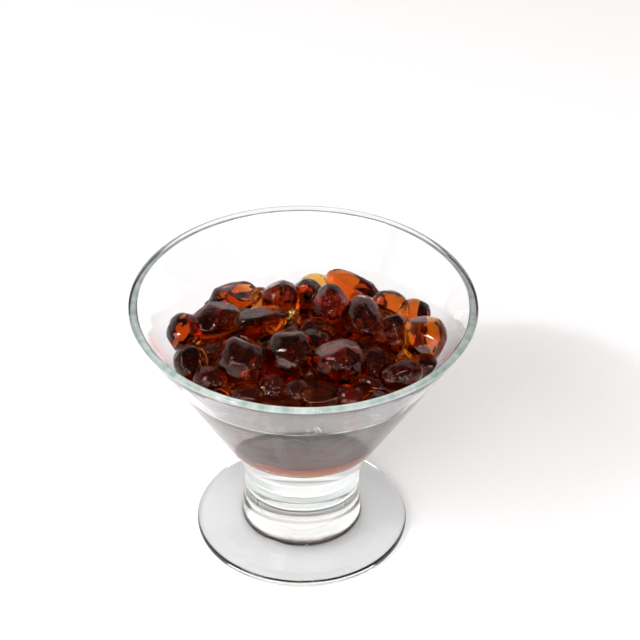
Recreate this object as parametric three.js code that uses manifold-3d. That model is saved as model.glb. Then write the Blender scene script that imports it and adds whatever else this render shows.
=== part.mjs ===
// A clear glass dessert coupe filled with crystal boba: soft, uneven jelly pearls heaped in dark sugar syrup.
//
// Millimetres, +Z up, with the origin in the middle of the foot, on the surface that the coupe stands on.
// There are two solids: the pressed glass, and the boba that fills its bowl. The boba is a core that takes
// the place of the syrup and of the pearls deep in it, with the pearls that rise above it fused on.

import * as THREE from "three";
import { mergeVertices } from "three/addons/utils/BufferGeometryUtils.js";
import Module from "manifold-3d";

const wasm = await Module();
wasm.setup();

// ---- Glass ----
const HEIGHT = 85;
const CONE_TOP_RADIUS = 52.5; // of the outer cone at the lip, before the lip's corners are rounded
const CONE_APEX_Z = -5.4; // where the lines of the outer cone would meet
const WALL = 2.6; // of the cone, measured level
const LIP_ROUND = 1.25; // reach of the fire-polished lip's corners
const FLOOR_Z = 35.6; // bottom of the bowl's inside
const FLOOR_DISH = 0.8; // how much the floor rises on its way to its corner
const FLOOR_CORNER = 5.5; // reach of the round corner between the floor and the cone
const NECK_RADIUS = 18.1; // where the cone turns into the stem
const NECK_BLEND = 3.5;
const WAIST_RADIUS = 17.7;
const STEM_RADIUS = 18.6; // at the stem's lower end
const STEM_BELLY_Z = 9;
const STEM_FILLET = 1.6;
const FOOT_RADIUS = 33.2;
const FOOT_EDGE = 2.8; // thickness at the foot's edge
const FOOT_ROUND = 1.3;
const FOOT_RISE = 1.9; // the foot's top climbs this much on its way to the stem
const PUNT_RADIUS = 26; // hollow under the foot
const PUNT_HEIGHT = 1.4;
const SIDES = 64;
const CURVE_STEPS = 3; // edges in each curved stretch of an outline

// ---- Boba ----
const FIT_GAP = 0.4; // between the boba and the glass, measured level
const SYRUP_Z = 65; // level of the syrup at the glass
const CORE_TOP_Z = 71; // of the core, in the middle of the heap
const LARGE_PEARL = 15; // a pearl at least this long has 180 faces, and a smaller one 80

// The pearls that show, from the back of the heap to the front:
// centre x, y, z, then length, width and height, then the turn of the length about Z and its tilt, in degrees.
const PEARLS = [
  [3.7, 34.6, 66.5, 10, 7, 6, 0, 0],
  [-13.6, 26, 67.5, 8, 7, 6.5, 20, 0],
  [-21.2, 24.8, 68.3, 17.5, 11.5, 9.5, 30, 0],
  [15.1, 28.5, 69.8, 20.5, 9.5, 9, -36, -5],
  [26.7, 18.9, 69, 12, 10, 11, -30, 0],
  [34, 15.4, 69.2, 10.5, 10, 9, -30, 0],
  [1, 22.7, 70, 11.5, 8.5, 11, 85, 0],
  [-6.9, 18, 72.5, 12.2, 12, 12, 0, 0],
  [-4.2, 12.2, 71.5, 6.5, 6, 6, 0, 0],
  [-13.2, 6.6, 72, 17, 10.5, 10, 20, 0],
  [7.8, 13.4, 73, 15.5, 12, 12.5, 88, 32],
  [3.7, 5.5, 69, 12, 11, 9, 30, 0],
  [17.7, 6.9, 73, 16.5, 13, 13, 86, 32],
  [27.1, 1.6, 71, 13.5, 10.5, 13, 85, 20],
  [36.5, -0.7, 72, 15, 14.3, 13.5, 85, 15],
  [-27.2, 7.4, 71.3, 17, 13, 11, 28, 4],
  [-28.1, 3.3, 68.5, 14.5, 6, 4, 15, 0],
  [-35.8, 3.6, 70.3, 12.5, 11, 11.5, 80, 0],
  [-33.5, -9.8, 69.3, 11.5, 10.5, 10.5, 100, 0],
  [-27.3, -4, 67.2, 9.5, 9, 8.5, 0, 0],
  [-18.2, -14, 72.5, 16, 15, 15, 150, 0],
  [-4.2, -10.7, 73, 15.5, 14.5, 15, 75, 15],
  [10.6, -13.9, 73, 17, 14.5, 13.5, 5, 0],
  [3.2, -14.2, 68, 8, 7.5, 7.5, 0, 0],
  [19.2, -0.5, 68, 9, 8, 8, 0, 0],
  [21.7, -8.2, 68.3, 10.5, 10, 10, 40, 0],
  [36.5, -9.2, 68.3, 8, 7.5, 7.5, 0, 0],
  [29.1, -15.5, 70, 14, 9.5, 8.8, 22, 0],
  [19.4, -18.6, 68.8, 12, 6.5, 6.5, -38, 0],
  [-27, -17.4, 68.3, 11, 9.5, 9, 0, 0],
  [-16.5, -25, 68.5, 10.5, 9, 8.5, 10, 0],
  [-9, -22, 69.3, 9.5, 9, 8.5, 60, 0],
  [-1.5, -23.7, 69, 9.5, 8.5, 8, 0, 0],
  [5.8, -25.9, 69.3, 14, 8, 8, 8, 0],
  [13.4, -25.5, 68.5, 9, 8, 8, 0, 0],
];

// Lower pearls fill the spaces between those. They are spread like the seeds of a sunflower, and left out
// where a listed pearl lies nearer than `apart`. Behind `backY` they lie lower by `backDrop`.
const FILLERS = {
  count: 60,
  radius: 37,
  middleZ: 67,
  edgeZ: 64.5,
  size: 12,
  apart: 5.5,
  backY: 14,
  backDrop: 3,
};
const GOLDEN_ANGLE = 137.5;

const coneSlope = CONE_TOP_RADIUS / (HEIGHT - CONE_APEX_Z);
const outerRadius = (z) => coneSlope * (z - CONE_APEX_Z);
const innerRadius = (z) => outerRadius(z) - WALL;
const radians = THREE.MathUtils.degToRad;

/** Repeatable draw from 0 to 1, number `draw` of the piece `seed`. */
function chance(seed, draw) {
  const wave = Math.sin(seed * 127.1 + draw * 311.7) * 43758.5453;
  return wave - Math.floor(wave);
}

/** Spins an outline of (radius, height) points about Z. It starts and ends on the axis, outside first. */
function spin(points) {
  return new THREE.LatheGeometry(points, SIDES).rotateX(Math.PI / 2);
}

/** The bowl's inside in section, from its floor's middle out to the cone and up to `topZ`, kept `gap` clear. */
function bowlOutline(gap, topZ) {
  const cornerZ = FLOOR_Z + FLOOR_CORNER;
  const flatRadius = innerRadius(FLOOR_Z) - FLOOR_CORNER;
  const path = new THREE.Path();
  path.moveTo(0, FLOOR_Z + gap);
  path.quadraticCurveTo(flatRadius / 2, FLOOR_Z + gap, flatRadius, FLOOR_Z + FLOOR_DISH / 2 + gap);
  path.quadraticCurveTo(
    innerRadius(FLOOR_Z) - gap,
    FLOOR_Z + FLOOR_DISH + gap,
    innerRadius(cornerZ) - gap,
    cornerZ,
  );
  path.lineTo(innerRadius(topZ) - gap, topZ);
  return path.getPoints(CURVE_STEPS);
}

/** The glass in section, from the hollow under its foot, up its outside, over the lip, to the bowl's floor. */
function glassOutline() {
  const footTop = FOOT_EDGE + FOOT_RISE;
  const neckZ = CONE_APEX_Z + NECK_RADIUS / coneSlope;
  const blendZ = neckZ + NECK_BLEND;
  const lipZ = HEIGHT - LIP_ROUND;
  const lipMiddle = CONE_TOP_RADIUS - WALL / 2;
  const path = new THREE.Path();
  path.moveTo(0, PUNT_HEIGHT);
  path.quadraticCurveTo(PUNT_RADIUS * 0.7, PUNT_HEIGHT, PUNT_RADIUS, 0);
  path.lineTo(FOOT_RADIUS - FOOT_ROUND, 0);
  path.quadraticCurveTo(FOOT_RADIUS, 0, FOOT_RADIUS, FOOT_EDGE / 2);
  path.quadraticCurveTo(FOOT_RADIUS, FOOT_EDGE, FOOT_RADIUS - FOOT_ROUND, FOOT_EDGE);
  path.lineTo(STEM_RADIUS + STEM_FILLET, footTop);
  path.quadraticCurveTo(STEM_RADIUS, footTop, STEM_RADIUS, footTop + STEM_FILLET);
  path.lineTo(STEM_RADIUS, STEM_BELLY_Z);
  path.quadraticCurveTo(WAIST_RADIUS, (STEM_BELLY_Z + neckZ) / 2, NECK_RADIUS, neckZ - NECK_BLEND);
  path.quadraticCurveTo(NECK_RADIUS, neckZ, outerRadius(blendZ), blendZ);
  path.lineTo(outerRadius(lipZ), lipZ);
  path.quadraticCurveTo(CONE_TOP_RADIUS, HEIGHT, lipMiddle, HEIGHT);
  path.quadraticCurveTo(CONE_TOP_RADIUS - WALL, HEIGHT, innerRadius(lipZ), lipZ);
  const inside = bowlOutline(0, lipZ).reverse();
  return [...path.getPoints(CURVE_STEPS), ...inside.slice(1)];
}

/** The bowl's inside as a geometry, up to `edgeZ` at the glass and `middleZ` in the middle. */
function bowlFilling(edgeZ, middleZ) {
  const rise = new THREE.Path();
  rise.moveTo(innerRadius(edgeZ) - FIT_GAP, edgeZ);
  rise.quadraticCurveTo(innerRadius(edgeZ) / 2, middleZ, 0, middleZ);
  return spin([...bowlOutline(FIT_GAP, edgeZ), ...rise.getPoints(CURVE_STEPS).slice(1)]);
}

/** Direction number `draw` of the piece `seed`. */
function chanceDirection(seed, draw) {
  const spread = [0, 1, 2].map((axis) => chance(seed, 3 * draw + axis) - 0.5);
  return new THREE.Vector3(...spread).normalize();
}

/** Moves a point of the unit sphere onto a pearl's skin: a soft block with pressed sides and a dimple. */
function shapePearl(point, form) {
  const fromDimple = 1 - point.dot(form.dimple);
  const power = 2 / form.boxy;
  const spread = Math.abs(point.x) ** power + Math.abs(point.y) ** power + Math.abs(point.z) ** power;
  const swell = 1 + 0.05 * Math.sin(5 * point.dot(form.swell) + form.phase);
  point.multiplyScalar(swell / spread ** (form.boxy / 2));
  for (const { side, reach } of form.presses) {
    const over = point.dot(side) - reach;
    if (over > 0) point.addScaledVector(side, -0.8 * over);
  }
  point.addScaledVector(form.dimple, -form.dimpleDepth * Math.exp(-12 * fromDimple));
}

/** One pearl at its place in the heap. */
function pearlGeometry([x, y, z, length, width, height, turn, tilt], seed) {
  const form = {
    boxy: 0.78 + 0.2 * chance(seed, 31), // 1 is an ellipsoid, and less is squarer
    swell: chanceDirection(seed, 5),
    phase: 6 * chance(seed, 32),
    dimple: chanceDirection(seed, 4),
    dimpleDepth: 0.1 + 0.12 * chance(seed, 30),
    presses: [0, 1, 2, 3].map((i) => ({
      side: chanceDirection(seed, i),
      reach: 0.7 + 0.16 * chance(seed, 20 + i),
    })),
  };
  const half = new THREE.Vector3(length, width, height).multiplyScalar(0.5);
  const geometry = new THREE.IcosahedronGeometry(1, length < LARGE_PEARL ? 1 : 2);
  const position = geometry.getAttribute("position");
  const point = new THREE.Vector3();
  for (let i = 0; i < position.count; i++) {
    point.fromBufferAttribute(position, i).normalize();
    shapePearl(point, form);
    point.multiply(half);
    position.setXYZ(i, point.x, point.y, point.z);
  }
  return geometry.rotateY(-radians(tilt)).rotateZ(radians(turn)).translate(x, y, z);
}

/** The lower pearls between the listed ones, in the same form as PEARLS. */
function fillers() {
  const { count, radius, middleZ, edgeZ, size, apart, backY, backDrop } = FILLERS;
  const clear = ([x, y]) => PEARLS.every((pearl) => Math.hypot(pearl[0] - x, pearl[1] - y) > apart);
  const spread = Array.from({ length: count }, (_, i) => {
    const out = Math.sqrt((i + 0.5) / count);
    const azimuth = radians(i * GOLDEN_ANGLE);
    const x = radius * out * Math.cos(azimuth);
    const y = radius * out * Math.sin(azimuth);
    const z = middleZ + (edgeZ - middleZ) * out + chance(i, 51) - (y > backY ? backDrop : 0);
    const across = size * (0.85 + 0.3 * chance(i, 50));
    return [x, y, z, across * 1.12, across, across * 0.9, 360 * chance(i, 52), 0];
  });
  return spread.filter(clear);
}

/** A closed geometry as a manifold-3d solid. */
function solidOf(geometry) {
  const bare = geometry.clone();
  bare.deleteAttribute("normal");
  bare.deleteAttribute("uv");
  const merged = mergeVertices(bare, 1e-4);
  return new wasm.Manifold(
    new wasm.Mesh({
      numProp: 3,
      vertProperties: merged.getAttribute("position").array,
      triVerts: new Uint32Array(merged.index.array),
    }),
  );
}

/** A manifold-3d solid as a geometry. */
function geometryOf(solid) {
  const mesh = solid.getMesh();
  return new THREE.BufferGeometry()
    .setAttribute("position", new THREE.BufferAttribute(mesh.vertProperties, mesh.numProp))
    .setIndex(new THREE.BufferAttribute(mesh.triVerts, 1));
}

/** The boba: the core with the pearls fused on, trimmed to the bowl, without loose scraps. */
function heapGeometry() {
  const room = solidOf(bowlFilling(HEIGHT, HEIGHT));
  const core = solidOf(bowlFilling(SYRUP_Z, CORE_TOP_Z));
  const pearls = [...PEARLS, ...fillers()].map((pearl, i) => solidOf(pearlGeometry(pearl, i + 1)));
  const fused = wasm.Manifold.union([core, ...pearls]).intersect(room);
  const pieces = fused.decompose().sort((a, b) => b.volume() - a.volume());
  return geometryOf(pieces[0]);
}

function part(name, geometry, look) {
  const mesh = new THREE.Mesh(geometry, new THREE.MeshStandardMaterial(look));
  mesh.name = name;
  return mesh;
}

const coupe = new THREE.Group();
coupe.add(
  part("glass", spin(glassOutline()), {
    color: 0xe4f1ec,
    roughness: 0.02,
    metalness: 0,
    transparent: true,
    opacity: 0.35,
  }),
  part("boba", heapGeometry(), { color: 0x4e1a08, roughness: 0.1, metalness: 0 }),
);

export default coupe;
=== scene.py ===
"""A clear glass dessert coupe heaped with crystal boba in brown sugar syrup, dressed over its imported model.

Metres, +Z up, with the origin in the middle of the foot, on the table. The model gives the places: the glass
and the boba are made again here, in the same form, as fine glass, syrup and separate jelly pearls.
"""

import math
from typing import NamedTuple

import bmesh
import bpy
from bpy.props import FloatProperty, FloatVectorProperty, IntProperty, PointerProperty
from mathutils import Euler, Matrix, Vector, noise


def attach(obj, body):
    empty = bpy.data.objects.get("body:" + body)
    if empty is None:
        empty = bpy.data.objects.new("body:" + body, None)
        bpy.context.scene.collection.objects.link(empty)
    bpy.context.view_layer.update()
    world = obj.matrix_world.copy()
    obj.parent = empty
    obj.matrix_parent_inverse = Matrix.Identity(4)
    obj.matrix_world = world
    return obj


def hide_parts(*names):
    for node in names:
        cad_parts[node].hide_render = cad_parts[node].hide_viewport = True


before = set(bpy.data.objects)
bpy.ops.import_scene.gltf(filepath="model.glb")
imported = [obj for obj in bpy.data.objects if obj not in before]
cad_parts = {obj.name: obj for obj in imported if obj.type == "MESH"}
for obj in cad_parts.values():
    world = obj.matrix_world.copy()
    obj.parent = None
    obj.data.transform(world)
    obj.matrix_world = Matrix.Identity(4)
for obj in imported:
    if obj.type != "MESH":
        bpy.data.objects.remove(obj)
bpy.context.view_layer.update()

bl_info = {
    "name": "Crystal Boba Coupe",
    "version": (1, 0, 0),
    "blender": (4, 5, 0),
    "location": "3D View > Sidebar > Boba",
    "description": "Makes a footed glass dish of crystal boba in brown sugar syrup",
    "category": "Add Mesh",
}

MM = 0.001
BODY = "root"
UP = Vector((0, 0, 1))
DOWN = (0, 0, -1)

LATHE_STEPS = 192
LIP_CORNERS = 16
WELD = 0.001 * MM
TABLE_GAP = 0.05 * MM

# The patches of finer crinkles: their scale as a share of the soft relief's, and the noise where they begin
# and are full.
PATCH_SCALE = 0.45
PATCH_EDGE = (0.5, 0.62)

# The width of the syrup's curve up to the glass and of the rim of syrup that follows the glass, and how many
# ripples of that rim go in a metre.
SYRUP_CURVE = 3 * MM
SYRUP_RIM = 6 * MM
SYRUP_RIPPLES = 45

# The bead of painted highlight along the syrup's edge: degrees round the glass, rings along it, and corners
# of each ring.
BEAD_START = -165
BEAD_SWEEP = 150
BEAD_STEPS = 160
BEAD_CORNERS = 8
BEAD_THINNEST = 0.03 * MM

# The lower pearls between the listed ones, in millimetres: how far out they lie, how clear of the listed
# ones, how high, how much lower they are at the glass, and how much lower behind FILLER_BACK.
FILLER_SPREAD = 37
FILLER_CLEARANCE = 5.5
FILLER_HEIGHT = 67
FILLER_FALL = 2.5
FILLER_BACK = 14
FILLER_BACK_DROP = 3

# The sunk pearls, in millimetres: the height of each layer, how far they stay off the glass, their spacing
# and size, and how much lower they are behind DEEP_BACK, which lies further back in each lower layer.
DEEP_LAYERS = (61.5, 53.5, 45.5)
DEEP_MARGIN = 5.5
DEEP_SPACING = 5.6
DEEP_SIZE = 10.5
DEEP_BACK = 6
DEEP_BACK_STEP = 8
DEEP_BACK_DROP = 5
DEEP_INSET = 0.3 * MM

# Every pearl has an index of its own, from which its chances follow. Four facets take three draws each.
FILLER_INDEX = 100
DEEP_INDEX = 200
FACET_DRAWS = range(40, 52)
GOLDEN_ANGLE = math.radians(137.5)

# How finely the spheres are divided that the pearls start from.
LISTED_DETAIL = 5
FILLER_DETAIL = 4
DEEP_DETAIL = 3


def length(name, millimetres, description):
    """A size of the piece, given in millimetres and kept in metres."""
    return FloatProperty(
        name=name,
        description=description,
        default=millimetres * MM,
        unit="LENGTH",
        subtype="DISTANCE",
        precision=5,
    )


def colour(name, value, description):
    return FloatVectorProperty(
        name=name, description=description, default=value, size=3, min=0.0, soft_max=1.0, subtype="COLOR"
    )


def amount(name, value, description):
    return FloatProperty(name=name, description=description, default=value)


class CoupeSizes(bpy.types.PropertyGroup):
    height: length("Height", 85, "From the table to the lip")
    cone_top: length("Cone Top Radius", 52.5, "Outer cone at the lip, before the lip is rounded")
    cone_apex: length("Cone Apex", -5.4, "Height where the lines of the outer cone would meet")
    wall: length("Wall", 2.6, "Thickness of the cone, measured level")
    lip_round: length("Lip Rounding", 1.25, "Reach of the fire-polished lip's corners")
    # The lip's core is a pale green ring inside the glass. It is partly the glass's own green, seen edge-on,
    # and partly painted light that stands in for the light the thick lip carries.
    lip_glow_core: length("Lip Core", 0.95, "Half the width of the green core of the lip, across the wall")
    lip_core_thin: length("Lip Core Thickness", 0.12, "Half the thickness of the lip's core")
    lip_core_z: length("Lip Core Height", 83.8, "Where the lip's core lies")
    floor: length("Bowl Floor", 35.6, "Height of the inside of the bowl")
    floor_dish: length("Floor Dish", 0.8, "How much the floor rises on its way to its corner")
    floor_corner: length("Floor Corner", 5.5, "Reach of the round corner between the floor and the cone")
    neck: length("Neck Radius", 18.1, "Where the cone turns into the stem")
    neck_blend: length("Neck Blend", 6, "Reach of the blend at the neck")
    waist: length("Waist Radius", 17.7, "Narrowest part of the stem")
    stem: length("Stem Radius", 18.6, "Lower end of the stem")
    stem_belly: length("Stem Belly", 9, "Height of the stem's widest ring")
    stem_fillet: length("Stem Fillet", 1.6, "Between the stem and the foot")
    foot: length("Foot Radius", 33.2, "Outer edge of the foot")
    foot_edge: length("Foot Edge", 2.8, "Thickness at the foot's edge")
    foot_round: length("Foot Rounding", 1.3, "Reach of the foot's rounded edge")
    foot_rise: length("Foot Rise", 1.9, "Climb of the foot's top on its way to the stem")
    punt: length("Punt Radius", 26, "Hollow under the foot")
    punt_height: length("Punt Height", 1.4, "Depth of the hollow under the foot")
    refraction: amount("Refraction", 1.52, "Index of soda-lime glass")
    tint: colour("Glass Tint", (0.45, 0.86, 0.70), "What a depth of the glass lets through")
    tint_density: amount("Tint Density", 3, "Strength of the tint per metre")
    # The lip core's two tones are partly painted light: pale colours where light shows through the lip.
    lip_tint: colour("Lip Tint", (0.20, 0.28, 0.25), "Darker parts of the lip's core")
    lip_light: colour("Lip Light", (0.41, 0.445, 0.42), "Lighter parts of the lip's core")


class BobaSizes(bpy.types.PropertyGroup):
    syrup: length("Syrup Level", 62, "Height of the syrup in the bowl")
    wet_reach: length("Wet Reach", 0.06, "How far the contents reach into the glass, so that no air shows")
    meniscus: length("Meniscus", 0.8, "Climb of the syrup at the back of the glass")
    front_climb: length("Front Climb", 5, "How much higher the syrup clings at the front")
    ripple: length("Ripple", 0.9, "How unevenly the syrup climbs the glass")
    # The bead is a painted highlight: a pale line that stands in for the light the syrup's curved edge
    # mirrors at the glass.
    bead: length("Bead", 0.16, "Half the thickness of the pale line at the syrup's edge, before it varies")
    bead_highlight_colour: colour("Bead Colour", (0.72, 0.60, 0.42), "The pale line at the syrup's edge")
    fillers: IntProperty(name="Fillers", description="Lower pearls tried between the listed ones", default=60)
    filler_size: length("Filler Size", 12, "Middle size of the lower pearls")
    refraction: amount("Refraction", 1.41, "Index of the jelly")
    syrup_refraction: amount("Syrup Refraction", 1.45, "Index of the syrup")
    # The amber jelly is painted light: a deeper orange copy of the jelly for the pearls that glow where light
    # passes through them.
    amber: colour("Amber Jelly", (0.915, 0.665, 0.300), "What the lightest pearls let through")
    brown: colour("Brown Jelly", (0.962, 0.815, 0.470), "What most pearls let through")
    # The dark jelly is painted shade: a darker copy of the jelly for the pearls in the gaps and at the front,
    # where shade falls.
    dark: colour("Dark Jelly", (0.85, 0.68, 0.38), "What the pearls in the gaps let through")
    syrup_colour: colour("Syrup", (0.972, 0.880, 0.600), "What the syrup lets through")
    gloss: colour("Jelly Gloss", (1.0, 0.72, 0.64), "What the jelly's skin mirrors")
    density: amount("Jelly Density", 900, "Strength of the colour per metre")
    deep_skin: colour("Deep Skin", (0.42, 0.15, 0.07), "Skin of the pearls that are sunk in the syrup")
    deep_refraction: amount("Deep Refraction", 1.05, "Index of the sunk pearls against the syrup")
    deep_clearness: amount("Deep Clearness", 0.6, "Share of light that the skin of a sunk pearl lets in")


class StageSettings(bpy.types.PropertyGroup):
    table_size: length("Table Size", 3000, "Half the width of the table")
    table_white: amount("Table White", 0.9, "Share of light that the table throws back")
    key: amount("Key Light", 9, "Radiance of the soft light at the left")
    flash: amount("Flash", 250, "Radiance of the small bulbs")
    fill: amount("Fill Light", 5, "Radiance of the cloth behind the camera, which no gloss mirrors")
    back: amount("Back Light", 0.85, "Radiance of the white wall behind")
    horizon: amount("Horizon", 1.2, "Radiance of the room all round, low down")
    dim: amount("Dim Side", 0.15, "Radiance of the rest of the room")
    room: colour("Room Colour", (1.0, 0.91, 0.91), "Of the wall, the horizon and the rest of the room")


class Pearl(NamedTuple):
    """A jelly pearl, in millimetres and degrees: `taper` thins its far end.

    Each flat is (azimuth, elevation, reach), and so is the knot, with its width for the reach.
    """

    centre: tuple
    size: tuple
    turn: float = 0
    tilt: float = 0
    taper: float = 0
    flats: tuple = ()
    knot: tuple = ()
    # A pearl's batch picks its jelly. The lit amber copy is painted light, for pearls that glow where light
    # passes through them. The shaded dark copy is painted shade, for pearls in the gaps and at the front.
    batch: str = "brown"


# The pearls that show, from the back of the heap to the front.
PEARLS = (
    Pearl((3.7, 34.6, 66.5), (10, 7.5, 6.5), flats=((-90, 60, 0.7), (90, -35, 0.8))),
    Pearl((-13.6, 26, 67.5), (8, 7, 6.5), turn=20, flats=((-90, 40, 0.7), (90, -35, 0.7)), batch="amber"),
    Pearl(
        (-21.2, 24.8, 68.3), (17.5, 11.5, 9.5), turn=30, taper=0.15,
        flats=((5, 45, 0.55), (100, 70, 0.75)), knot=(-120, 40, 0.3), batch="amber",
    ),
    Pearl(
        (15.1, 28.5, 69.6), (20.5, 9, 8.5), turn=-36, tilt=-5,
        flats=((-100, 66, 0.8), (-120, 20, 0.8)), knot=(-10, 25, 0.4), batch="amber",
    ),
    Pearl(
        (26.7, 18.9, 69), (12, 10, 11), turn=-30,
        flats=((-95, 38, 0.65), (85, -38, 0.65)), knot=(-30, 45, 0.3), batch="amber",
    ),
    Pearl(
        (34, 15.4, 69.2), (10.5, 10, 9), turn=-30,
        flats=((-95, 45, 0.7), (85, -38, 0.7)), knot=(-140, 20, 0.4), batch="amber",
    ),
    Pearl(
        (1, 22.7, 70.3), (11.5, 9.5, 11.5), turn=85, taper=0.1,
        flats=((-110, 35, 0.75), (80, -35, 0.75)), knot=(-60, 50, 0.25), batch="amber",
    ),
    Pearl((-6.9, 18, 72.5), (12.2, 12, 12), flats=((140, 55, 0.85),), knot=(-60, 55, 0.4)),
    Pearl((-4.4, 11.5, 70.2), (7.5, 7, 7), flats=((-80, 45, 0.8),), knot=(-80, 45, 0.6)),
    Pearl(
        (-13.2, 6.6, 71.8), (17, 11, 11), turn=20,
        flats=((120, 74, 0.66), (-85, 12, 0.85)), knot=(-60, 25, 0.5),
    ),
    Pearl(
        (7.8, 13.4, 73), (15.5, 12, 12.5), turn=88, tilt=32, taper=0.12,
        flats=((160, 50, 0.8),), knot=(-95, 48, 0.35),
    ),
    Pearl((3.7, 5.5, 69), (12, 11, 9), turn=30, knot=(-90, 60, 0.7)),
    Pearl(
        (17.7, 6.9, 73), (16.5, 13, 13), turn=86, tilt=32, taper=0.3,
        flats=((-155, 20, 0.88),), knot=(-85, 48, 0.4),
    ),
    Pearl(
        (27.1, 1.6, 71), (13.5, 10.5, 13), turn=85, tilt=20,
        flats=((-110, 68, 0.72),), knot=(-110, 60, 0.4),
    ),
    Pearl(
        (36.5, -0.7, 72), (15, 14.3, 13.5), turn=85, tilt=15,
        flats=((100, 66, 0.82), (-90, 25, 0.85), (85, -30, 0.8)),
    ),
    Pearl(
        (-27.2, 7.4, 71.3), (17, 13, 11), turn=28, tilt=4, taper=-0.2,
        flats=((170, 45, 0.85), (60, 62, 0.88)), knot=(-40, 45, 0.4),
    ),
    Pearl((-28.1, 3.3, 68.5), (14.5, 6, 4), turn=15, flats=((90, 80, 0.7),), batch="amber"),
    Pearl(
        (-35.8, 3.6, 70.3), (12.5, 11, 11.5), turn=80,
        flats=((-65, 30, 0.78), (110, -35, 0.78)), batch="amber",
    ),
    Pearl(
        (-33.5, -9.8, 69.3), (11.5, 10.5, 10.5), turn=100,
        flats=((-60, 45, 0.7),), knot=(-60, 30, 0.5), batch="dark",
    ),
    Pearl((-27.3, -4, 67.2), (9.5, 9, 8.5), knot=(-50, 50, 0.5), batch="dark"),
    Pearl(
        (-18.2, -14, 72.5), (16, 15, 15), turn=150,
        flats=((175, 25, 0.86), (55, 60, 0.88)), knot=(-55, 8, 0.35),
    ),
    Pearl(
        (-4.2, -10.7, 73), (15.5, 14.5, 15), turn=75, tilt=15,
        flats=((100, 70, 0.9), (-110, 25, 0.92)), knot=(-60, 5, 0.35),
    ),
    Pearl(
        (10.6, -13.9, 73), (17, 14.5, 13.5), turn=5,
        flats=((150, 62, 0.7), (-90, -10, 0.85)), knot=(-65, 48, 0.4),
    ),
    Pearl((3.2, -14.2, 68), (8, 7.5, 7.5), batch="dark"),
    Pearl((19.2, -0.5, 68), (9, 8, 8), batch="amber"),
    Pearl((21.7, -8.2, 68.3), (10.5, 10, 10), turn=40, knot=(-90, 50, 0.6), batch="dark"),
    Pearl((36.5, -9.2, 68.3), (8, 7.5, 7.5), batch="amber"),
    Pearl(
        (29.1, -15.5, 70), (14, 9.5, 8.8), turn=22,
        flats=((160, 50, 0.85),), knot=(-90, 45, 0.4), batch="dark",
    ),
    Pearl((19.4, -18.6, 68.8), (12, 6.5, 6.5), turn=-38, flats=((60, 60, 0.7),), batch="dark"),
    Pearl((-27, -17.4, 68.3), (11, 9.5, 9), knot=(-60, 50, 0.5), batch="dark"),
    Pearl((-16.5, -25, 68.5), (10.5, 9, 8.5), turn=10, flats=((120, 70, 0.7),), batch="dark"),
    Pearl((-9, -22, 69.3), (9.5, 9, 8.5), turn=60, knot=(-90, 60, 0.7), batch="dark"),
    Pearl((-1.5, -23.7, 69), (9.5, 8.5, 8), knot=(-90, 60, 0.4), batch="dark"),
    Pearl((5.8, -25.9, 69.3), (14, 8, 8), turn=8, flats=((-110, 65, 0.65),), batch="dark"),
    Pearl((13.4, -25.5, 68.5), (9, 8, 8), batch="amber"),
)


# ---- Outlines and lathe work ----


class Profile:
    """The cone's outer and inner lines in section, which both slope alike."""

    def __init__(self, sizes):
        self.sizes = sizes
        self.slope = sizes.cone_top / (sizes.height - sizes.cone_apex)

    def outer(self, z):
        return self.slope * (z - self.sizes.cone_apex)

    def inner(self, z):
        return self.outer(z) - self.sizes.wall


def at(radius, z):
    """A point of a section, that far from the axis."""
    return Vector((radius, 0, z))


def run(outline, end, steps=1):
    """Adds a straight stretch to the outline, in even steps."""
    start = outline[-1]
    outline.extend(start.lerp(end, i / steps) for i in range(1, steps + 1))


def bend(outline, corner, end, steps=8):
    """Adds a round stretch that leaves towards `corner` and arrives from it."""
    start = outline[-1]
    for i in range(1, steps + 1):
        t = i / steps
        outline.append(start.lerp(corner, t).lerp(corner.lerp(end, t), t))


def bowl_outline(profile, reach, top):
    """The bowl's inside, from the middle of its floor to `top`, moved outwards by `reach`."""
    s = profile.sizes
    corner_z = s.floor + s.floor_corner
    flat = profile.inner(s.floor) - s.floor_corner
    outline = [at(0, s.floor - reach)]
    bend(outline, at(flat / 2, s.floor - reach), at(flat, s.floor + s.floor_dish / 2 - reach))
    bend(
        outline,
        at(profile.inner(s.floor) + reach, s.floor + s.floor_dish - reach),
        at(profile.inner(corner_z) + reach, corner_z),
    )
    run(outline, at(profile.inner(top) + reach, top), 10)
    return outline


def glass_outline(profile):
    """The glass in section, from the hollow under its foot, up its outside and over the lip, to the floor."""
    s = profile.sizes
    punt_shoulder = 0.7 * s.punt
    foot_top = s.foot_edge + s.foot_rise
    neck_z = s.cone_apex + s.neck / profile.slope
    blend_z = neck_z + s.neck_blend
    lip_z = s.height - s.lip_round
    lip_middle = s.cone_top - s.wall / 2
    outline = [at(0, s.punt_height)]
    bend(outline, at(punt_shoulder, s.punt_height), at(s.punt, 0), 12)
    run(outline, at(s.foot - s.foot_round, 0), 3)
    bend(outline, at(s.foot, 0), at(s.foot, s.foot_edge / 2), 6)
    bend(outline, at(s.foot, s.foot_edge), at(s.foot - s.foot_round, s.foot_edge), 6)
    run(outline, at(s.stem + s.stem_fillet, foot_top), 6)
    bend(outline, at(s.stem, foot_top), at(s.stem, foot_top + s.stem_fillet))
    run(outline, at(s.stem, s.stem_belly), 3)
    bend(outline, at(s.waist, (s.stem_belly + neck_z) / 2), at(s.neck, neck_z - s.neck_blend), 12)
    bend(outline, at(s.neck, neck_z), at(profile.outer(blend_z), blend_z))
    run(outline, at(profile.outer(lip_z), lip_z), 14)
    bend(outline, at(s.cone_top, s.height), at(lip_middle, s.height))
    bend(outline, at(s.cone_top - s.wall, s.height), at(profile.inner(lip_z), lip_z))
    inside = bowl_outline(profile, 0, lip_z)
    outline.extend(reversed(inside[:-1]))
    return outline


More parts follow.
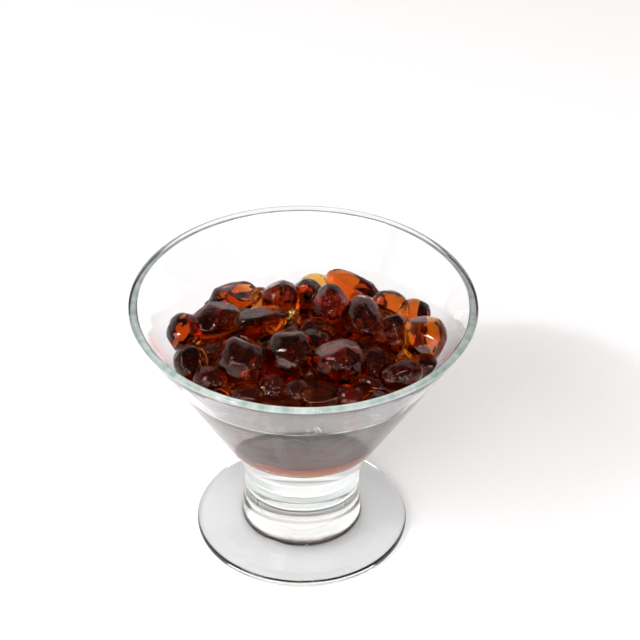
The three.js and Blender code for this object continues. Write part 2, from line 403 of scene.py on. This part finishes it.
def spin(bm, section):
    """Turns a section once round Z and closes it into a skin that faces outwards."""
    bmesh.ops.spin(
        bm, geom=section, axis=UP, cent=(0, 0, 0), angle=math.tau, steps=LATHE_STEPS, use_merge=True
    )
    bmesh.ops.remove_doubles(bm, verts=bm.verts, dist=WELD)
    bmesh.ops.recalc_face_normals(bm, faces=bm.faces)


def lathe(bm, outline):
    """Spins an outline that starts and ends on the axis."""
    points = [bm.verts.new(point) for point in outline]
    spin(bm, points + [bm.edges.new(pair) for pair in zip(points, points[1:])])


def add_ring(bm, middle, across, along, corners):
    """Adds a closed ring round `middle`, with the half widths `across` and `along`, and gives its corners."""
    turn = Matrix((across, along, across.cross(along))).transposed().to_4x4()
    place = Matrix.Translation(middle) @ turn
    return bmesh.ops.create_circle(bm, segments=corners, radius=1, matrix=place)["verts"]


def add_object(name, bm, material):
    """Makes the mesh an object of the scene."""
    mesh = bpy.data.meshes.new(name)
    bm.to_mesh(mesh)
    bm.free()
    mesh.materials.append(material)
    made = bpy.data.objects.new(name, mesh)
    bpy.context.scene.collection.objects.link(made)
    return made


def add_piece(name, bm, material, *nodes):
    """Makes the mesh a smooth piece that rides on the coupe and stands for the given nodes."""
    for face in bm.faces:
        face.smooth = True
    piece = add_object(name, bm, material)
    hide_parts(*nodes)
    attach(piece, BODY)
    return piece


# ---- Materials ----


def new_material(name, **values):
    """A material whose shader's sockets have the given values, with _ for a space in their names."""
    material = bpy.data.materials.new(name)
    material.use_nodes = True
    set_shader(material, **values)
    return material


def shader_of(material):
    return material.node_tree.nodes["Principled BSDF"]


def set_shader(material, **values):
    for socket, value in values.items():
        shader_of(material).inputs[socket.replace("_", " ")].default_value = value


def clear_material(name, refraction, tint, density):
    """A smooth clear body, whose colour deepens with the way through it."""
    material = new_material(
        name, Base_Color=(1, 1, 1, 1), Roughness=0, IOR=refraction, Transmission_Weight=1
    )
    nodes, links = material.node_tree.nodes, material.node_tree.links
    volume = nodes.new("ShaderNodeVolumeAbsorption")
    volume.inputs["Color"].default_value = (*tint, 1)
    volume.inputs["Density"].default_value = density
    links.new(volume.outputs[0], nodes["Material Output"].inputs["Volume"])
    return material


def soft_relief():
    """A group of gentle unevenness, with patches of finer crinkles."""
    group = bpy.data.node_groups.new("SoftRelief", "ShaderNodeTree")
    for name, default in (("Scale", 300.0), ("Fine Scale", 1500.0), ("Fine Share", 0.3)):
        socket = group.interface.new_socket(name, in_out="INPUT", socket_type="NodeSocketFloat")
        socket.default_value = default
    group.interface.new_socket("Height", in_out="OUTPUT", socket_type="NodeSocketFloat")
    nodes, links = group.nodes, group.links
    inside = nodes.new("NodeGroupInput")
    outside = nodes.new("NodeGroupOutput")
    place = nodes.new("ShaderNodeTexCoord")
    broad = nodes.new("ShaderNodeTexNoise")
    fine = nodes.new("ShaderNodeTexNoise")
    wide = nodes.new("ShaderNodeTexNoise")
    spread = nodes.new("ShaderNodeMath")
    spread.operation = "MULTIPLY"
    spread.inputs[1].default_value = PATCH_SCALE
    patch = nodes.new("ShaderNodeMapRange")
    patch.inputs["From Min"].default_value, patch.inputs["From Max"].default_value = PATCH_EDGE
    mix = nodes.new("ShaderNodeMix")
    textures = (
        (broad, inside.outputs["Scale"]),
        (fine, inside.outputs["Fine Scale"]),
        (wide, spread.outputs[0]),
    )
    for texture, scale in textures:
        texture.inputs["Detail"].default_value = 2
        links.new(place.outputs["Object"], texture.inputs["Vector"])
        links.new(scale, texture.inputs["Scale"])
    links.new(inside.outputs["Scale"], spread.inputs[0])
    links.new(wide.outputs[0], patch.inputs["Value"])
    links.new(inside.outputs["Fine Share"], patch.inputs["To Max"])
    links.new(patch.outputs["Result"], mix.inputs["Factor"])
    links.new(broad.outputs[0], mix.inputs["A"])
    links.new(fine.outputs[0], mix.inputs["B"])
    links.new(mix.outputs["Result"], outside.inputs["Height"])
    return group


def place_relief(material, scale, fine_scale, fine_share):
    """Puts the soft relief in a material and gives its height."""
    relief = material.node_tree.nodes.new("ShaderNodeGroup")
    relief.node_tree = bpy.data.node_groups.get("SoftRelief") or soft_relief()
    for socket, value in zip(relief.inputs, (scale, fine_scale, fine_share)):
        socket.default_value = value
    return relief.outputs["Height"]


def add_bumps(material, scale, fine_scale, fine_share, depth):
    """Makes a material's skin uneven by the soft relief."""
    links = material.node_tree.links
    bump = material.node_tree.nodes.new("ShaderNodeBump")
    bump.inputs["Strength"].default_value = 1
    bump.inputs["Distance"].default_value = depth
    links.new(place_relief(material, scale, fine_scale, fine_share), bump.inputs["Height"])
    links.new(bump.outputs[0], shader_of(material).inputs["Normal"])


def glass_material(sizes):
    material = clear_material("clear_glass", sizes.refraction, sizes.tint, sizes.tint_density)
    add_bumps(material, scale=60, fine_scale=240, fine_share=0.2, depth=0.12 * MM)
    return material


def lit_lip_material(sizes):
    """The green of a thick lip, in cloudy stretches of two tones: partly the glass's own green, and partly
    painted light, a pale colour that stands in for the light the lip carries.
    """
    material = new_material("lip_green_glow", Roughness=0.4)
    nodes, links = material.node_tree.nodes, material.node_tree.links
    tone = nodes.new("ShaderNodeMix")
    tone.data_type = "RGBA"
    tone.inputs["A"].default_value = (*sizes.lip_tint, 1)
    tone.inputs["B"].default_value = (*sizes.lip_light, 1)
    spread = nodes.new("ShaderNodeMapRange")
    spread.inputs["From Min"].default_value = 0.35
    spread.inputs["From Max"].default_value = 0.65
    height = place_relief(material, scale=300, fine_scale=1500, fine_share=0.3)
    links.new(height, spread.inputs["Value"])
    links.new(spread.outputs["Result"], tone.inputs["Factor"])
    links.new(tone.outputs["Result"], shader_of(material).inputs["Base Color"])
    return material


def jelly_material(name, tint, boba):
    material = clear_material(name, boba.refraction, tint, boba.density)
    set_shader(material, Specular_Tint=(*boba.gloss, 1))
    add_bumps(material, scale=300, fine_scale=1500, fine_share=0.6, depth=0.1 * MM)
    return material


def deep_jelly_material(boba):
    """Jelly in syrup, whose skin shows by its colour and hardly by its gloss."""
    material = jelly_material("deep_jelly", boba.brown, boba)
    set_shader(
        material,
        Base_Color=(*boba.deep_skin, 1),
        IOR=boba.deep_refraction,
        Transmission_Weight=boba.deep_clearness,
    )
    return material


def syrup_material(boba):
    material = clear_material("brown_sugar_syrup", boba.syrup_refraction, boba.syrup_colour, boba.density)
    add_bumps(material, scale=180, fine_scale=700, fine_share=0.2, depth=0.2 * MM)
    return material


def table_material(stage):
    white = stage.table_white
    material = new_material("white_table", Base_Color=(white, white, white, 1), Roughness=0.6)
    add_bumps(material, scale=40, fine_scale=400, fine_share=0.3, depth=0.1 * MM)
    return material


# ---- Pearls ----


def facing(azimuth, elevation):
    """The unit vector that points that way, in degrees. -90 looks at the front and 0 to the right."""
    return Euler((0, -math.radians(elevation), math.radians(azimuth))).to_matrix() @ Vector((1, 0, 0))


def chance(index, draw):
    """A repeatable draw from 0 to 1."""
    return 0.5 + 0.5 * noise.noise(Vector((index * 13.37 + 0.5, draw * 7.77 + 0.5, 0.5)) * 1.7)


def chance_flats(chances):
    """Shallow flats that lie anywhere on a pearl, from three draws each."""
    for across, up, depth in zip(chances[::3], chances[1::3], chances[2::3]):
        yield 360 * across, 180 * up - 90, 0.88 + 0.1 * depth


def chance_knot(chances):
    """A small knot, in the upper half of a pearl or a little lower."""
    return 360 * chances[0] - 180, 70 * chances[1] - 20, 0.25


def plump(way, seed):
    """How far the jelly reaches that way: a rounded block with soft lumps, in half sizes."""
    boxy = 0.9 + 0.08 * noise.noise(seed)
    power = 2 / boxy
    block = sum(abs(x) ** power for x in way) ** (-boxy / 2)
    lumps = 0.07 * noise.noise(way * 1.3 + seed) + 0.03 * noise.noise(way * 3.5 - seed)
    return block + lumps


def press(point, side, reach, softness=0.05):
    """Flattens what stands out past `reach`, with a soft edge."""
    over = point.dot(side) - reach
    if over > 0:
        point -= side * (over - softness * (1 - math.exp(-over / softness)))


def tie_knot(point, way, centre, width, seed):
    """Sinks a crinkled dimple with a raised ring, where the drop of jelly closed, in half sizes."""
    angle = way.angle(centre)
    hollow = 0.1 * math.exp(-((angle / (0.6 * width)) ** 2))
    ring = 0.04 * math.exp(-(((angle - width) / (0.35 * width)) ** 2))
    crinkle = 0.13 * noise.noise(way * 7 + seed) + 0.08 * noise.noise(way * 14 - seed)
    point += way * (ring - hollow + crinkle * math.exp(-((angle / (1.2 * width)) ** 2)))


def hold_in_bowl(point, profile, reach):
    """Keeps a point inside the bowl, where it would pass its wall."""
    limit = profile.inner(point.z) + reach
    out = math.hypot(point.x, point.y)
    if out > limit:
        point.x *= limit / out
        point.y *= limit / out


def add_pearl(bm, pearl, index, detail, profile, reach):
    """Adds one pearl to the mesh, where it lies, pressed against the glass where it meets it."""
    seed = Vector((7.3 * index, 3.1 * index, 1.7))
    half = Vector(pearl.size) * MM / 2
    middle = Vector(pearl.centre) * MM
    turn = Matrix.Rotation(math.radians(pearl.turn), 3, "Z")
    pose = turn @ Matrix.Rotation(-math.radians(pearl.tilt), 3, "Y")
    chances = [chance(index, draw) for draw in FACET_DRAWS]
    flats = (*pearl.flats, *chance_flats(chances))
    knots = (pearl.knot, chance_knot(chances)) if pearl.knot else ()
    presses = [(facing(azimuth, elevation) @ pose, depth) for azimuth, elevation, depth in flats]
    ties = [(facing(azimuth, elevation) @ pose, width) for azimuth, elevation, width in knots]
    for vert in bmesh.ops.create_icosphere(bm, subdivisions=detail, radius=1)["verts"]:
        way = vert.co.normalized()
        point = way * plump(way, seed)
        point.yz *= 1 - pearl.taper * way.x
        for side, depth in presses:
            press(point, side, depth)
        for centre, width in ties:
            tie_knot(point, way, centre, width, seed)
        point = pose @ Vector(a * b for a, b in zip(point, half)) + middle
        hold_in_bowl(point, profile, reach)
        vert.co = point


def sunflower(count, radius, turn=0.0):
    """Points spread evenly over a disc, as the seeds of a sunflower are."""
    for i in range(count):
        out = radius * math.sqrt((i + 0.5) / count)
        azimuth = i * GOLDEN_ANGLE + turn
        yield i, out * math.cos(azimuth), out * math.sin(azimuth), out / radius


def filler_pearls(boba):
    """The lower pearls between the listed ones."""
    size = boba.filler_size / MM
    for i, x, y, out in sunflower(boba.fillers, FILLER_SPREAD):
        if all(math.hypot(pearl.centre[0] - x, pearl.centre[1] - y) > FILLER_CLEARANCE for pearl in PEARLS):
            across = size * (0.85 + 0.3 * chance(i, 1))
            drop = FILLER_FALL * out + (FILLER_BACK_DROP if y > FILLER_BACK else 0)
            centre = (x, y, FILLER_HEIGHT + chance(i, 2) - drop)
            knot = (-90 + 120 * (chance(i, 4) - 0.5), 50, 0.5)
            yield Pearl(centre, (across * 1.1, across, across * 0.92), turn=360 * chance(i, 3), knot=knot)


def deep_pearls(profile):
    """Layers of pearls sunk in the syrup, which show at the glass."""
    for layer, height in enumerate(DEEP_LAYERS):
        radius = profile.inner(height * MM) / MM - DEEP_MARGIN
        back = DEEP_BACK + DEEP_BACK_STEP * layer
        for i, x, y, _ in sunflower(int((radius / DEEP_SPACING) ** 2), radius, layer):
            across = DEEP_SIZE + 2 * chance(i, 10 + layer)
            lift = 2 * (chance(i, 20 + layer) - 0.5) - (DEEP_BACK_DROP if y > back else 0)
            turn = 360 * chance(i, 30 + layer)
            yield Pearl((x, y, height + lift), (across * 1.1, across, across * 0.9), turn=turn)


# ---- Syrup ----


def lift_along_cone(point, climb, profile):
    """Moves a point up and outwards as the bowl widens."""
    widen = 1 + climb * profile.slope / math.hypot(point.x, point.y)
    point.x *= widen
    point.y *= widen
    point.z += climb


def climb_syrup(point, boba, profile):
    """Lifts a point of the syrup's edge by as much as the syrup climbs the glass there."""
    near = (point.z - boba.syrup + SYRUP_CURVE) / (SYRUP_CURVE + boba.meniscus)
    if near > 0:
        front = 0.5 - 0.5 * point.y / profile.inner(point.z)
        climb = boba.front_climb * front + boba.ripple * noise.noise(point * SYRUP_RIPPLES)
        lift_along_cone(point, climb * near, profile)


def bead_radius(boba, step):
    """How thick the bead is at a step of its way: uneven, and thin at both ends."""
    uneven = 0.7 + 1.2 * noise.noise(Vector((step * 0.15, 0, 0)))
    ends = math.sin(math.pi * step / BEAD_STEPS) ** 0.3
    return max(boba.bead * ends * uneven, BEAD_THINNEST)


# ---- Stage ----


def add_table(stage):
    """Lays the white table just under the foot."""
    bm = bmesh.new()
    bmesh.ops.create_grid(bm, x_segments=2, y_segments=2, size=stage.table_size)
    table = add_object("table", bm, table_material(stage))
    table.location.z = -TABLE_GAP


def add_softbox(name, place, aim, width, depth, radiance):
    """A rectangular light at `place` that faces `aim`, as bright all over as `radiance`."""
    light = bpy.data.lights.new(name, "AREA")
    light.shape = "RECTANGLE"
    light.size = width
    light.size_y = depth
    light.energy = radiance * math.pi * width * depth
    lamp = bpy.data.objects.new(name, light)
    lamp.location = place
    lamp.rotation_euler = (Vector(aim) - Vector(place)).to_track_quat("-Z", "Y").to_euler()
    bpy.context.scene.collection.objects.link(lamp)
    return lamp


def add_lights(stage):
    """A softbox with a bulb at the left, a bulb in front for glints, and a wide cloth behind the camera."""
    coupe = (0, 0, 0.05)
    heap = (0, 0, 0.07)
    foot = (0, 0, 0)
    add_softbox("left_softbox", (-0.75, -0.5, 0.95), coupe, width=0.45, depth=0.45, radiance=stage.key)
    add_softbox("left_bulb", (-0.73, -0.48, 0.92), coupe, width=0.08, depth=0.08, radiance=stage.flash)
    glint = add_softbox("front_bulb", (0.15, -0.92, 0.66), heap, width=0.1, depth=0.1, radiance=stage.flash)
    glint.visible_diffuse = False
    cloth = add_softbox("front_cloth", (-0.1, -1.25, 0.7), foot, width=3.4, depth=1.1, radiance=stage.fill)
    cloth.visible_glossy = False


def add_ramp(nodes, links, way, towards, start, full):
    """A mask over the room's directions: 0 at cosine `start` from `towards`, and 1 from cosine `full` on."""
    cosine = nodes.new("ShaderNodeVectorMath")
    cosine.operation = "DOT_PRODUCT"
    cosine.inputs[1].default_value = towards
    mask = nodes.new("ShaderNodeMapRange")
    mask.interpolation_type = "SMOOTHSTEP"
    mask.inputs["From Min"].default_value = start
    mask.inputs["From Max"].default_value = full
    links.new(way.outputs["Generated"], cosine.inputs[0])
    links.new(cosine.outputs["Value"], mask.inputs["Value"])
    return mask.outputs["Result"]


def combine(nodes, links, operation, first, second):
    """The result of a sum on two values, each a socket or a plain number."""
    result = nodes.new("ShaderNodeMath")
    result.operation = operation
    for socket, value in zip(result.inputs, (first, second)):
        if isinstance(value, float):
            socket.default_value = value
        else:
            links.new(value, socket)
    return result.outputs[0]


def room_light(stage):
    """A dim studio with a bright white wall behind the table and at the left, and a bright horizon."""
    world = bpy.data.worlds.new("room")
    world.use_nodes = True
    nodes, links = world.node_tree.nodes, world.node_tree.links
    way = nodes.new("ShaderNodeTexCoord")
    below_top = add_ramp(nodes, links, way, towards=DOWN, start=-0.73, full=-0.68)
    behind = add_ramp(nodes, links, way, towards=(-0.4, 0.92, 0), start=-0.1, full=0.1)
    low = add_ramp(nodes, links, way, towards=DOWN, start=-0.12, full=-0.04)
    wall = combine(nodes, links, "MULTIPLY", below_top, behind)
    back = combine(nodes, links, "MULTIPLY", wall, stage.back)
    horizon = combine(nodes, links, "MULTIPLY", low, stage.horizon)
    bright = combine(nodes, links, "MAXIMUM", back, horizon)
    strength = combine(nodes, links, "MAXIMUM", bright, stage.dim)
    background = nodes["Background"]
    background.inputs["Color"].default_value = (*stage.room, 1)
    links.new(strength, background.inputs["Strength"])
    return world


def add_camera(scene):
    """The photographer's place: in front, above, looking down at the rim."""
    place = (0, -0.5522, 0.4843)
    pitch = math.radians(36.33)
    side = math.radians(0.417)
    roll = math.radians(0.45)
    camera = bpy.data.cameras.new("camera")
    camera.lens = 128.9
    camera.sensor_width = 36
    camera.clip_start = 0.01
    aim = Matrix.Rotation(math.pi / 2 - pitch, 4, "X") @ Matrix.Rotation(-side, 4, "Y")
    eye = bpy.data.objects.new("camera", camera)
    eye.matrix_world = Matrix.Translation(place) @ aim @ Matrix.Rotation(roll, 4, "Z")
    scene.collection.objects.link(eye)
    scene.camera = eye


# ---- Operators ----


class BOBA_OT_add_stage(bpy.types.Operator):
    """Sets the white table, the room, the lights and the camera"""

    bl_idname = "boba.add_stage"
    bl_label = "Add Stage"

    def execute(self, context):
        scene = context.scene
        stage = scene.stage_settings
        add_table(stage)
        add_lights(stage)
        scene.world = room_light(stage)
        scene.view_settings.view_transform = "Standard"
        add_camera(scene)
        return {"FINISHED"}


class BOBA_OT_add_glass(bpy.types.Operator):
    """Makes the pressed glass coupe"""

    bl_idname = "boba.add_glass"
    bl_label = "Add Glass"

    def execute(self, context):
        sizes = context.scene.coupe_sizes
        bm = bmesh.new()
        lathe(bm, glass_outline(Profile(sizes)))
        piece = add_piece("coupe_glass", bm, glass_material(sizes), "glass")
        return {"FINISHED"}


class BOBA_OT_add_lip(bpy.types.Operator):
    """Lays the pale green ring inside the thick glass lip: partly the glass's own green, partly painted light
    that stands in for the light the lip carries
    """

    bl_idname = "boba.add_lip"
    bl_label = "Add Lip Core"

    def execute(self, context):
        sizes = context.scene.coupe_sizes
        profile = Profile(sizes)
        middle = at(profile.outer(sizes.lip_core_z) - sizes.wall / 2, sizes.lip_core_z)
        along = at(profile.slope, 1).normalized()
        across = at(along.z, -along.x)
        bm = bmesh.new()
        add_ring(bm, middle, across * sizes.lip_glow_core, along * sizes.lip_core_thin, LIP_CORNERS)
        spin(bm, bm.verts[:] + bm.edges[:])
        add_piece("lip_glow_core", bm, lit_lip_material(sizes), "glass")
        return {"FINISHED"}


class BOBA_OT_add_syrup(bpy.types.Operator):
    """Fills the bowl with syrup up to its level"""

    bl_idname = "boba.add_syrup"
    bl_label = "Add Syrup"

    def execute(self, context):
        boba = context.scene.boba_sizes
        profile = Profile(context.scene.coupe_sizes)
        level = profile.inner(boba.syrup)
        outline = bowl_outline(profile, boba.wet_reach, boba.syrup + boba.meniscus)
        bend(outline, at(level, boba.syrup), at(level - SYRUP_CURVE, boba.syrup))
        run(outline, at(0, boba.syrup), 8)
        bm = bmesh.new()
        lathe(bm, outline)
        for vert in bm.verts:
            if profile.inner(vert.co.z) - math.hypot(vert.co.x, vert.co.y) < SYRUP_RIM:
                climb_syrup(vert.co, boba, profile)
        piece = add_piece("syrup", bm, syrup_material(boba), "boba")
        return {"FINISHED"}


class BOBA_OT_add_wet_line(bpy.types.Operator):
    """Lays the pale bead where the syrup's edge clings to the front of the glass: a painted highlight that
    stands in for the light its curved edge mirrors
    """

    bl_idname = "boba.add_wet_line"
    bl_label = "Add Wet Line"

    def execute(self, context):
        boba = context.scene.boba_sizes
        profile = Profile(context.scene.coupe_sizes)
        top = boba.syrup + boba.meniscus
        bm = bmesh.new()
        rings = []
        for step in range(BEAD_STEPS + 1):
            turn = math.radians(BEAD_START + BEAD_SWEEP * step / BEAD_STEPS)
            out = Vector((math.cos(turn), math.sin(turn), 0))
            middle = out * profile.inner(top) + UP * top
            climb_syrup(middle, boba, profile)
            radius = bead_radius(boba, step)
            ring = add_ring(bm, middle, out * radius, UP * radius, BEAD_CORNERS)
            rings.append([edge for vert in ring for edge in vert.link_edges if edge.verts[0] == vert])
        for ring, following in zip(rings, rings[1:]):
            bmesh.ops.bridge_loops(bm, edges=ring + following)
        bmesh.ops.holes_fill(bm, edges=bm.edges, sides=BEAD_CORNERS)
        bmesh.ops.recalc_face_normals(bm, faces=bm.faces)
        # The bead's pale colour is a painted highlight.
        material = new_material("wet_line_highlight", Base_Color=(*boba.bead_highlight_colour, 1), Roughness=0.3)
        piece = add_piece("wet_line_highlight", bm, material, "boba")
        return {"FINISHED"}


class BOBA_OT_add_pearls(bpy.types.Operator):
    """Heaps the jelly pearls that show"""

    bl_idname = "boba.add_pearls"
    bl_label = "Add Pearls"

    def execute(self, context):
        boba = context.scene.boba_sizes
        profile = Profile(context.scene.coupe_sizes)
        # The lit amber jelly is painted light and the shaded dark jelly is painted shade; the brown is the
        # jelly's own colour.
        batches = {"amber": bmesh.new(), "brown": bmesh.new(), "dark": bmesh.new()}
        for index, pearl in enumerate(PEARLS):
            add_pearl(batches[pearl.batch], pearl, index, LISTED_DETAIL, profile, boba.wet_reach)
        for index, pearl in enumerate(filler_pearls(boba), FILLER_INDEX):
            # The fillers lie in the gaps between the listed pearls, so they all take the shaded dark jelly:
            # painted shade.
            add_pearl(batches["dark"], pearl, index, FILLER_DETAIL, profile, boba.wet_reach)
        for batch, bm in batches.items():
            material = jelly_material(f"{batch}_jelly", getattr(boba, batch), boba)
            piece = add_piece(f"pearls_{batch}", bm, material, "boba")
        return {"FINISHED"}


class BOBA_OT_add_deep_pearls(bpy.types.Operator):
    """Sinks the lower layers of pearls in the syrup"""

    bl_idname = "boba.add_deep_pearls"
    bl_label = "Add Deep Pearls"

    def execute(self, context):
        boba = context.scene.boba_sizes
        profile = Profile(context.scene.coupe_sizes)
        bm = bmesh.new()
        for index, pearl in enumerate(deep_pearls(profile), DEEP_INDEX):
            add_pearl(bm, pearl, index, DEEP_DETAIL, profile, -DEEP_INSET)
        piece = add_piece("pearls_deep", bm, deep_jelly_material(boba), "boba")
        return {"FINISHED"}


class BOBA_PT_panel(bpy.types.Panel):
    """Lists the pieces of the coupe in the order they are made, and their sizes"""

    bl_idname = "BOBA_PT_panel"
    bl_label = "Crystal Boba Coupe"
    bl_space_type = "VIEW_3D"
    bl_region_type = "UI"
    bl_category = "Boba"

    def draw(self, context):
        for operator in OPERATORS:
            self.layout.operator(operator.bl_idname)
        scene = context.scene
        for settings in (scene.coupe_sizes, scene.boba_sizes, scene.stage_settings):
            for name in settings.__annotations__:
                self.layout.prop(settings, name)


OPERATORS = (
    BOBA_OT_add_stage,
    BOBA_OT_add_glass,
    BOBA_OT_add_lip,
    BOBA_OT_add_syrup,
    BOBA_OT_add_wet_line,
    BOBA_OT_add_pearls,
    BOBA_OT_add_deep_pearls,
)
SETTINGS = (CoupeSizes, BobaSizes, StageSettings)


def register():
    for item in (*SETTINGS, *OPERATORS, BOBA_PT_panel):
        bpy.utils.register_class(item)
    bpy.types.Scene.coupe_sizes = PointerProperty(type=CoupeSizes)
    bpy.types.Scene.boba_sizes = PointerProperty(type=BobaSizes)
    bpy.types.Scene.stage_settings = PointerProperty(type=StageSettings)


def unregister():
    del bpy.types.Scene.stage_settings
    del bpy.types.Scene.boba_sizes
    del bpy.types.Scene.coupe_sizes
    for item in (BOBA_PT_panel, *reversed(OPERATORS), *reversed(SETTINGS)):
        bpy.utils.unregister_class(item)


def main():
    register()
    bpy.ops.boba.add_stage()
    bpy.ops.boba.add_glass()
    bpy.ops.boba.add_lip()
    bpy.ops.boba.add_syrup()
    bpy.ops.boba.add_wet_line()
    bpy.ops.boba.add_pearls()
    bpy.ops.boba.add_deep_pearls()


if __name__ == "__main__":
    main()
